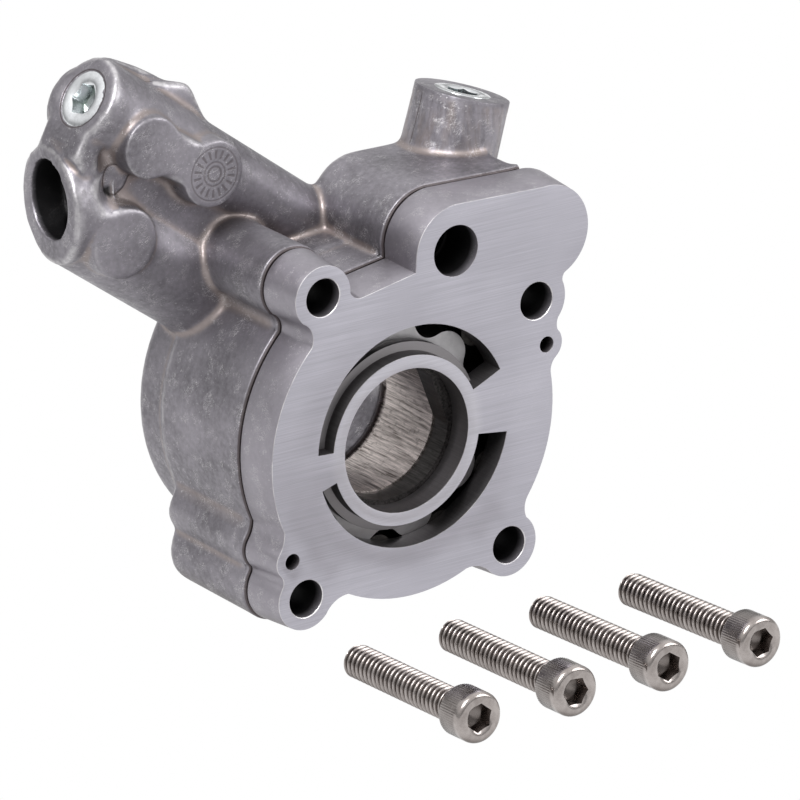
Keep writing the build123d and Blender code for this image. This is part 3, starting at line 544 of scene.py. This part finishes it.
def steel_material(name, dark, light, rough, axis_scale, bump=0.2, hollow_shade=None, hollow_share=0.85):
    """Machined steel with tool lines; axis_scale stretches them, and the hollow colour, where given,
    darkens its recesses as painted shade.
    """
    material, n, shader, place = new_material(name)
    lines = n.noise(place, 140.0, 3.0, 0.65, axis_scale)
    stain = n.ramp(n.noise(place, 130.0, 4.0, 0.6), 0.3, 0.7)
    tone = n.maths("ADD", n.times(lines, 0.75), n.times(stain, 0.25))
    colour = n.mix(n.ramp(tone, 0.3, 0.7), dark, light)
    if hollow_shade is not None:
        # Painted shade: recesses found by ambient occlusion take the hollow colour
        colour = n.mix(n.ramp(n.openness(3 * MM), 0.35, 0.85, hollow_share, 0.0), colour, hollow_shade)
    n.put(shader, "Base Color", colour)
    shader.inputs["Metallic"].default_value = 1.0
    n.put(shader, "Roughness", n.ramp(lines, 0.3, 0.7, rough - 0.06, rough + 0.08))
    n.put(shader, "Normal", n.bump(lines, bump, 0.03 * MM))
    return material


def screw_material():
    """Warm stainless steel, darker in its recesses and on the knurled side of the head, as painted shade.
    """
    material, n, shader, place = new_material("stainless")
    cloud = n.noise(place, 400.0, 4.0, 0.6)
    colour = n.mix(n.ramp(cloud, 0.35, 0.65), STAINLESS_DARK, STAINLESS_LIGHT)
    # Painted shade in recesses found by ambient occlusion
    colour = n.mix(n.ramp(n.openness(3 * MM), 0.35, 0.85, 0.8, 0.0), colour, SCREW_SHADE)
    # The knurled side of the head is darkened too, a painted shade
    on_rim = n.band(n.split(place)[2], 1.5, 6.1, 0.3)
    colour = n.mix(n.times(on_rim, 0.45), colour, SCREW_SHADE)
    n.put(shader, "Base Color", colour)
    shader.inputs["Metallic"].default_value = 1.0
    n.put(shader, "Roughness", n.ramp(cloud, 0.3, 0.7, 0.15, 0.26))
    n.put(shader, "Normal", n.bump(cloud, 0.1, 0.03 * MM))
    return material


def rotor_material(name, face, wall, dark_wall):
    """Lapped rotor face; the walls of the drive bore keep their own tool marks."""
    material, n, shader, place = new_material(name)
    away, _ = n.axis(place, ((0, 0, 0), ALONG_Y))
    stain = n.ramp(n.noise(place, 130.0, 4.0, 0.6), 0.3, 0.7)
    lines = n.noise(place, 140.0, 3.0, 0.7, (16, 1, 16))
    pits = n.ramp(n.noise(place, 900.0, 2.0, 0.6), 0.58, 0.72)
    inner = n.mix(n.ramp(lines, 0.33, 0.67), dark_wall, wall)
    inner = n.mix(n.times(pits, 0.5), inner, dark_wall)
    outer = n.mix(n.times(stain, 0.5), face, n.mix(0.5, face, dark_wall))
    n.put(shader, "Base Color", n.mix(n.ramp(away, 15.4 * MM, 15.6 * MM), inner, outer))
    shader.inputs["Metallic"].default_value = 1.0
    n.put(shader, "Roughness", n.ramp(lines, 0.3, 0.7, 0.30, 0.48))
    n.put(shader, "Normal", n.bump(lines, 0.35, 0.03 * MM))
    return material


def rubber_material(name):
    material, n, shader, place = new_material(name)
    grain = n.noise(place, 900.0, 3.0, 0.6)
    n.put(shader, "Base Color", n.mix(grain, (0.012, 0.012, 0.012, 1), (0.03, 0.03, 0.03, 1)))
    n.put(shader, "Roughness", n.ramp(grain, 0.0, 1.0, 0.55, 0.8))
    return material


def link_mesh(name, mesh, material, body="pump_body"):
    """Puts a mesh in the scene as one piece of a body."""
    obj = bpy.data.objects.new(name, mesh)
    bpy.context.scene.collection.objects.link(obj)
    mesh.materials.clear()
    mesh.materials.append(material)
    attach(obj, body)
    return obj


def mark_sharp(mesh, degrees):
    """Smooth shading with creases where faces meet at more than this angle."""
    bm = bmesh.new()
    bm.from_mesh(mesh)
    limit = math.radians(degrees)
    for face in bm.faces:
        face.smooth = True
    for edge in bm.edges:
        edge.smooth = edge.calc_face_angle(math.pi) < limit
    bm.to_mesh(mesh)
    bm.free()


def eased_copy(node, name, width, only=None):
    """A copy of a CAD node's mesh with its sharp edges eased by a small bevel."""
    bm = bmesh.new()
    bm.from_mesh(frame["nodes"][node].data)
    bmesh.ops.remove_doubles(bm, verts=bm.verts, dist=WELD)
    bmesh.ops.dissolve_limit(bm, angle_limit=math.radians(FLAT_ANGLE), verts=bm.verts, edges=bm.edges)
    sharp = math.radians(EASED_ANGLE)
    edges = [e for e in bm.edges if e.calc_face_angle(0.0) > sharp and (only is None or only(e))]
    settings = {"segments": 2, "profile": 0.5, "affect": "EDGES", "clamp_overlap": True}
    bmesh.ops.bevel(bm, geom=edges, offset=width, **settings)
    bmesh.ops.remove_doubles(bm, verts=bm.verts, dist=WELD)
    bmesh.ops.triangulate(bm, faces=[f for f in bm.faces if len(f.verts) > 4])
    mesh = bpy.data.meshes.new(name)
    bm.to_mesh(mesh)
    bm.free()
    mark_sharp(mesh, CREASE)
    return mesh


def axis_distance(points, axis):
    """Distance of points to an axis and their place along it, in metres."""
    start = np.array(axis[0]) * MM
    way = np.array(axis[1], float)
    way /= np.linalg.norm(way)
    along = (points - start) @ way
    away = np.linalg.norm(points - start - along[:, None] * way, axis=1)
    return away, along


def softness(points):
    """How far each point of the casting may be smoothed: 0 at machined places, 1 on cast skin."""
    weight = np.clip((points[:, 1] - PARTING - LIP_SHARP) / LIP_FADE, 0, 1)
    for axis in SHARP:
        _, _, radius, reach = axis
        away, along = axis_distance(points, axis)
        inside = (along > -HOLE_AHEAD) & (along < reach * MM)
        ramp = np.clip((away - radius * MM) / HOLE_FADE, 0, 1)
        weight = np.where(inside, np.minimum(weight, ramp), weight)
    for (x, z), radius, depth in PADS + [EJECTOR]:
        away, along = axis_distance(points, ((x, depth, z), ALONG_Y))
        near = (away < (radius + PAD_MARGIN) * MM) & (np.abs(along) < PAD_RISE)
        weight = np.where(near, np.minimum(weight, PAD_SOFTNESS), weight)
    return weight


def mesh_points(mesh):
    points = np.empty(len(mesh.vertices) * 3)
    mesh.vertices.foreach_get("co", points)
    return points.reshape(-1, 3)


def uncover(points):
    """Sets the inlet cone back round the ejector mark, which it would half hide."""
    (x, z), radius, depth = EJECTOR
    away, _ = axis_distance(points, ((x, 0, z), ALONG_Y))
    over_bore, _ = axis_distance(points, INLET_AXIS)
    level = depth * MM - DISH_SLOPE * np.maximum(away - (radius + DISH_RIM) * MM, 0)
    low = (away < DISH_REACH) & (over_bore > DISH_OFF_AXIS) & (points[:, 1] > DISH_FRONT)
    for (x, z), radius, _ in PADS:
        from_pad, _ = axis_distance(points, ((x, 0, z), ALONG_Y))
        low &= from_pad > (radius + DISH_OFF_PAD) * MM
    points[:, 1] = np.where(low, np.maximum(points[:, 1], level), points[:, 1])


def soften(mesh):
    """Rounds the mesh's edges where it is soft, and keeps how much each point moved as ridge."""
    points = mesh_points(mesh)
    uncover(points)
    start = points.copy()
    edges = np.empty(len(mesh.edges) * 2, np.int64)
    mesh.edges.foreach_get("vertices", edges)
    a, b = edges.reshape(-1, 2).T
    count = np.bincount(a, minlength=len(points)) + np.bincount(b, minlength=len(points))
    soft = softness(points) * SOFT_STEP
    rounds = [(soft, SOFT_PASSES)]
    for centre, reach, passes in BLEND_SPOTS:
        near = np.linalg.norm(points - np.array(centre) * MM, axis=1) / (reach * MM)
        rounds.append((soft * np.clip(2 - 2 * near, 0, 1), passes))
    for weight, passes in rounds:
        for _ in range(passes):
            total = np.empty_like(points)
            for k in range(3):
                total[:, k] = np.bincount(a, points[b, k], len(points))
                total[:, k] += np.bincount(b, points[a, k], len(points))
            points += weight[:, None] * (total / count[:, None] - points)
    mesh.vertices.foreach_set("co", points.ravel())
    mesh.update()
    normals = np.empty(len(points) * 3)
    mesh.vertices.foreach_get("normal", normals)
    moved = ((start - points) * normals.reshape(-1, 3)).sum(1) / MM
    ridge = mesh.attributes.new("ridge", "FLOAT", "POINT")
    ridge.data.foreach_set("value", moved.astype(np.float32))


def split_at(mesh, point, normal, keep_outer):
    """Cuts the mesh by a plane and keeps the side that the normal points to, or the other one."""
    bm = bmesh.new()
    bm.from_mesh(mesh)
    geom = bm.verts[:] + bm.edges[:] + bm.faces[:]
    clear = {"clear_inner": keep_outer, "clear_outer": not keep_outer}
    bmesh.ops.bisect_plane(bm, geom=geom, plane_co=point, plane_no=normal, **clear)
    bm.to_mesh(mesh)
    bm.free()


def casting():
    """The rear housing as cast: remeshed body with fillets, and its sharp lip at the parting line."""
    node = frame["nodes"]["rear_housing"]
    work = bpy.data.objects.new("casting_work", node.data.copy())
    bpy.context.scene.collection.objects.link(work)
    weld = work.modifiers.new("weld", "WELD")
    weld.merge_threshold = WELD
    remesh = work.modifiers.new("remesh", "REMESH")
    remesh.mode = "VOXEL"
    remesh.voxel_size = VOXEL
    graph = bpy.context.evaluated_depsgraph_get()
    mesh = bpy.data.meshes.new_from_object(work.evaluated_get(graph))
    bpy.data.objects.remove(work)
    soften(mesh)
    lip = ((0, PARTING + LIP_DEPTH, 0), (0, -1, 0))
    up = -Vector(RELIEF_AXIS[1])
    cap = (Vector(RELIEF_AXIS[0]) * MM - up * RELIEF_CAP, up)
    for point, normal in (lip, cap):
        split_at(mesh, point, normal, False)
    mesh.polygons.foreach_set("use_smooth", [True] * len(mesh.polygons))
    body = link_mesh("rear_casting", mesh, cast_material("cast_skin", True))
    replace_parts(body, "rear_housing")
    skin = cast_material("cast_lip", False)
    for name, (point, normal), width in (("rear_lip", lip, LIP_EDGE), ("relief_rim", cap, RELIEF_EDGE)):
        start = Vector(point)
        way = Vector(normal)
        piece = eased_copy("rear_housing", name, width, lambda e: (e.verts[0].co - start).dot(way) > 0)
        split_at(piece, point, normal, True)
        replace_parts(link_mesh(name, piece, skin), "rear_housing")


def revolve_rows(rows, columns, radius_at):
    """Rings of points about +Z: rows hold (radius, height), and radius_at changes both by angle."""
    points = []
    for r, h in rows:
        for i in range(columns):
            angle = 2 * math.pi * i / columns
            rr, hh = radius_at(r, h, angle)
            points.append((rr * math.cos(angle), rr * math.sin(angle), hh))
    return points


def rings_to_mesh(name, points, columns):
    """A mesh from stacked rings, closed by one face at both ends."""
    rows = len(points) // columns
    faces = []
    for j in range(rows - 1):
        for i in range(columns):
            k = (i + 1) % columns
            faces.append((j * columns + i, j * columns + k, (j + 1) * columns + k, (j + 1) * columns + i))
    faces.append(tuple(range(columns - 1, -1, -1)))
    faces.append(tuple(range((rows - 1) * columns, rows * columns)))
    mesh = bpy.data.meshes.new(name)
    mesh.from_pydata(points, [], faces)
    mesh.validate()
    return mesh


def thread_radius(height, angle, tip):
    """Radius of a truncated V thread, cut down by the chamfer at the tip."""
    turn = (height / PITCH - angle / (2 * math.pi) - THREAD_START) % 1.0
    away = abs(turn - 0.5) * 2
    groove = min(1.0, max(0.0, (away - THREAD_CREST) / THREAD_FLANK))
    groove = groove * groove * (3 - 2 * groove)
    radius = SCREW_R - THREAD_DEPTH * groove
    chamfer = SCREW_R - TIP_CHAMFER + (tip - height) * TIP_SLOPE
    return min(radius, max(chamfer, TIP_LEAST))


def turned(r, h, angle):
    """Leaves a ring round."""
    return r, h


def hex_flat(across, angle):
    """Distance from the middle of a hexagon to its side at an angle."""
    turn = (angle + math.pi / 6) % (math.pi / 3) - math.pi / 6
    return across / 2 / math.cos(turn)


def socket_body(name, outside, columns, across, depth, mouth, spin, ripple):
    """A turned body with a hex socket in its top: outside rows run from the socket's rim to the far end."""

    def bottom(r, h, angle):
        return min(r, hex_flat(across, angle - spin)), h

    def top(r, h, angle):
        flat = hex_flat(across, angle - spin)
        return flat, (mouth - flat) * MOUTH_SHARE

    drilled = [(DRILL_TIP_R, depth + DRILL_TIP), (across * DRILL_SHARE, depth + DRILL_EDGE)]
    points = revolve_rows(drilled + [(across, depth)], columns, bottom)
    points += revolve_rows([(across, 0.0)], columns, top)
    points += revolve_rows([(mouth, 0.0)], columns, turned)
    points += revolve_rows(outside, columns, ripple)
    return rings_to_mesh(name, points, columns)


def join_meshes(name, meshes, degrees):
    bm = bmesh.new()
    for mesh in meshes:
        bm.from_mesh(mesh)
    bmesh.ops.recalc_face_normals(bm, faces=bm.faces)
    mesh = bpy.data.meshes.new(name)
    bm.to_mesh(mesh)
    bm.free()
    mark_sharp(mesh, degrees)
    return mesh


def thread_mesh(tip):
    """The threaded shank, from just inside the head to the tip."""
    start = HEAD_H - 0.3 * MM
    steps = THREAD_ROWS * round(SCREW_L / PITCH)
    rows = [(0, start + (tip - start) * j / steps) for j in range(steps + 1)]
    points = revolve_rows(rows, THREAD_COLUMNS, lambda r, h, t: (thread_radius(h, t, tip), h))
    return rings_to_mesh("shank", points, THREAD_COLUMNS)


def knurl(r, h, angle):
    """Sinks the head's side between its knurls."""
    amount = 1.0 if KNURL_TOP < h < KNURL_END else 0.0
    wave = abs(((angle * KNURLS / (2 * math.pi)) % 1.0) - 0.5) * 2
    return r - KNURL_DEPTH * amount * wave, h


def screw_mesh(spin):
    """Cap screw with a cut thread, knurled head, rounded rim and hex socket; head face at the origin."""
    rows = []
    for degrees in range(90, -1, -15):
        turn = math.radians(degrees)
        rows.append((HEAD_R - HEAD_RIM + HEAD_RIM * math.cos(turn), HEAD_RIM - HEAD_RIM * math.sin(turn)))
    rows += [(HEAD_R, KNURL_TOP - 0.1 * MM), (HEAD_R, KNURL_TOP + 0.1 * MM), (HEAD_R, KNURL_END - 0.1 * MM)]
    rows += [(HEAD_R - 0.15 * MM, HEAD_H - 0.25 * MM), (HEAD_R - 0.5 * MM, HEAD_H)]
    rows.append((SCREW_R - 0.5 * MM, HEAD_H))
    columns = KNURLS * KNURL_COLUMNS
    head = socket_body("head", rows, columns, HEX_AF, HEX_DEPTH, HEAD_MOUTH, spin, knurl)
    return join_meshes("cap_screw", [thread_mesh(HEAD_H + SCREW_L), head], SCREW_CREASE)


def plug_mesh(radius, edge, spin):
    """Socket plug with a rounded edge; its face at the origin."""
    rows = [(radius - edge, 0.0), (radius - edge * 0.3, edge * 0.3), (radius, edge)]
    rows += [(radius, PLUG_L), (radius - PLUG_BACK, PLUG_L)]
    hexagon = (PLUG_HEX_AF, PLUG_HEX_DEPTH, PLUG_MOUTH)
    body = socket_body("plug", rows, PLUG_COLUMNS, *hexagon, spin, turned)
    return join_meshes("plug", [body], CREASE)


def add_plug(node, axis, depth, radius, edge, spin, material):
    """Puts a plug in a bore, depth below the bore's mouth, or above it where depth is negative."""
    way = Vector(axis[1]).normalized()
    piece = link_mesh(f"{node}_zinc", plug_mesh(radius, edge, spin), material)
    turn = way.to_track_quat("Z", "Y").to_matrix().to_4x4()
    piece.matrix_world = Matrix.Translation(Vector(axis[0]) * MM + way * depth) @ turn
    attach(piece, "pump_body")
    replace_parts(piece, node)


def screw_places():
    """Where each loose screw of the CAD node lies: head face centre and direction to the tip."""
    bm = bmesh.new()
    bm.from_mesh(frame["nodes"]["loose_screws"].data)
    bmesh.ops.remove_doubles(bm, verts=bm.verts, dist=WELD)
    places = []
    seen = set()
    for first in bm.verts:
        if first.index in seen:
            continue
        group = []
        stack = [first]
        seen.add(first.index)
        while stack:
            vert = stack.pop()
            group.append(vert.co.copy())
            for edge in vert.link_edges:
                other = edge.other_vert(vert)
                if other.index not in seen:
                    seen.add(other.index)
                    stack.append(other)
        points = np.array(group)
        tip = points[points[:, 1] > points[:, 1].max() - TIP_SLICE]
        face = points[points[:, 1] < points[:, 1].min() + HEAD_SLICE]
        centre = (face.max(0) + face.min(0)) / 2
        way = Vector((tip.max(0) + tip.min(0)) / 2 - centre).normalized()
        reach = (points - centre) @ np.array(way)
        places.append((Vector(centre) + way * float(reach.min()), way))
    bm.free()
    return places


def add_screws(material):
    for number, (start, way) in enumerate(sorted(screw_places(), key=lambda p: p[0].x)):
        mesh = screw_mesh(math.radians(SPINS[number]))
        piece = link_mesh(f"cap_screw_{number + 1}", mesh, material)
        across = Vector((way.y, -way.x, 0)).normalized()
        turn = Matrix((across, way.cross(across), way)).transposed().to_4x4()
        piece.matrix_world = Matrix.Translation(start) @ turn
        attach(piece, "pump_body")
        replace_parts(piece, "loose_screws")


def add_stage(floor_z):
    """A plain floor that shines white, and a soft world, brighter above than round the horizon."""
    bpy.ops.mesh.primitive_plane_add(size=FLOOR_SIZE, location=(0, 0, floor_z))
    floor = bpy.context.object
    floor.name = "floor"
    material, _, shader, _ = new_material("floor")
    shader.inputs["Base Color"].default_value = (0, 0, 0, 1)
    shader.inputs["Specular IOR Level"].default_value = 0.0
    shader.inputs["Emission Color"].default_value = (1, 1, 1, 1)
    shader.inputs["Emission Strength"].default_value = 1.0
    floor.data.materials.append(material)
    world = bpy.data.worlds.new("world")
    world.use_nodes = True
    n = Nodes(world.node_tree)
    height = n.split(n.add("ShaderNodeTexCoord").outputs["Generated"])[2]
    ramp = n.add("ShaderNodeValToRGB", Fac=n.ramp(height, -1.0, 1.0))
    elements = ramp.color_ramp.elements
    while len(elements) < len(WORLD_STOPS):
        elements.new(0.5)
    for element, (place, value) in zip(elements, WORLD_STOPS):
        element.position = place
        element.color = (value, value, value, 1)
    n.put(world.node_tree.nodes["Background"], "Color", ramp.outputs[0])
    bpy.context.scene.world = world


def add_light(name, size, power, place):
    data = bpy.data.lights.new(name, "AREA")
    data.size = size
    data.energy = power
    lamp = bpy.data.objects.new(name, data)
    bpy.context.scene.collection.objects.link(lamp)
    lamp.location = place
    lamp.rotation_euler = (-Vector(place)).to_track_quat("-Z", "Y").to_euler()


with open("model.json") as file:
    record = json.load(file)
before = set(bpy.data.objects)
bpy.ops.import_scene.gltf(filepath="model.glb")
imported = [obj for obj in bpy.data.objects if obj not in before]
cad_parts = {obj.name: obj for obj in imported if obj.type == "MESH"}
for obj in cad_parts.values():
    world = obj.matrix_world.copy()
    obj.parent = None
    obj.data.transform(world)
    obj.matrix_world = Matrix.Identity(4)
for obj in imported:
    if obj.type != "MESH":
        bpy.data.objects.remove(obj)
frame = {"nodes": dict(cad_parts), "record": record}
cad_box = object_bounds()
add_camera()
add_stage(cad_box[0][2])
add_light("key", size=0.5, power=11, place=(-0.55, -0.35, 0.85))
add_light("fill", size=0.6, power=5, place=(0.7, -0.7, 0.5))
bpy.context.scene.view_settings.view_transform = "Standard"

# Zinc plugs; the darker greenish hollow colour is painted shade in their hex sockets
zinc = steel_material(
    "zinc", dark=(0.62, 0.63, 0.65, 1), light=(0.88, 0.90, 0.92, 1), rough=0.16, axis_scale=(3, 3, 3),
    bump=0.08, hollow_shade=(0.34, 0.42, 0.36, 1), hollow_share=0.75)
# Sintered parts nearly black: dark sintered steel, made darker still as painted shade of the ports' depths
sintered = steel_material(
    "sintered", dark=(0.035, 0.033, 0.032, 1), light=(0.085, 0.08, 0.075, 1), rough=0.38,
    axis_scale=(14, 1, 14), bump=0.35)
# Drive bore walls: near white on the scavenge inner rotor, a painted highlight; dark on the feed inner
# rotor, a painted shade
bored = rotor_material(
    "bored", face=(0.3, 0.29, 0.28, 1), wall=(0.88, 0.80, 0.77, 1), dark_wall=(0.13, 0.11, 0.10, 1))
lapped = rotor_material(
    "lapped", face=(0.42, 0.41, 0.42, 1), wall=(0.10, 0.095, 0.093, 1), dark_wall=(0.03, 0.028, 0.027, 1))
materials = {
    # Machined aluminium given a nearly black colour, as painted shade
    "machined_aluminium": steel_material("plate_metal", grey(0.02), grey(0.04), 0.45, (1, 1, 30)),
    "sintered_steel": sintered,
    "scavenge_inner_rotor": bored,
    "feed_inner_rotor": lapped,
    "spring_steel": steel_material("spring", grey(0.30), grey(0.45), 0.3, (1, 20, 1)),
    "zinc_plated_steel": zinc,
    "stainless_steel": steel_material("pin_steel", grey(0.40), grey(0.52), 0.25, (4, 4, 4)),
    "seal_rubber": rubber_material("rubber"),
}
slots = {s["node"]: s["material_slot"] for s in frame["record"]["subparts"]}
for name, obj in frame["nodes"].items():
    key = name if name in materials else slots[name]
    if key in materials:
        obj.data.materials.clear()
        obj.data.materials.append(materials[key])

face_copy = eased_copy("front_housing", "front_cover", COVER_EDGE)
front = link_mesh("front_cover", face_copy, milled_material("milled_face"))
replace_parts(front, "front_housing")
casting()
add_plug("gallery_plug", PLUG_AXIS, -0.1 * MM, radius=5.55 * MM, edge=0.75 * MM, spin=0.35, material=zinc)
add_plug("relief_plug", RELIEF_AXIS, -0.15 * MM, radius=5.4 * MM, edge=0.3 * MM, spin=0.2, material=zinc)
add_screws(screw_material())
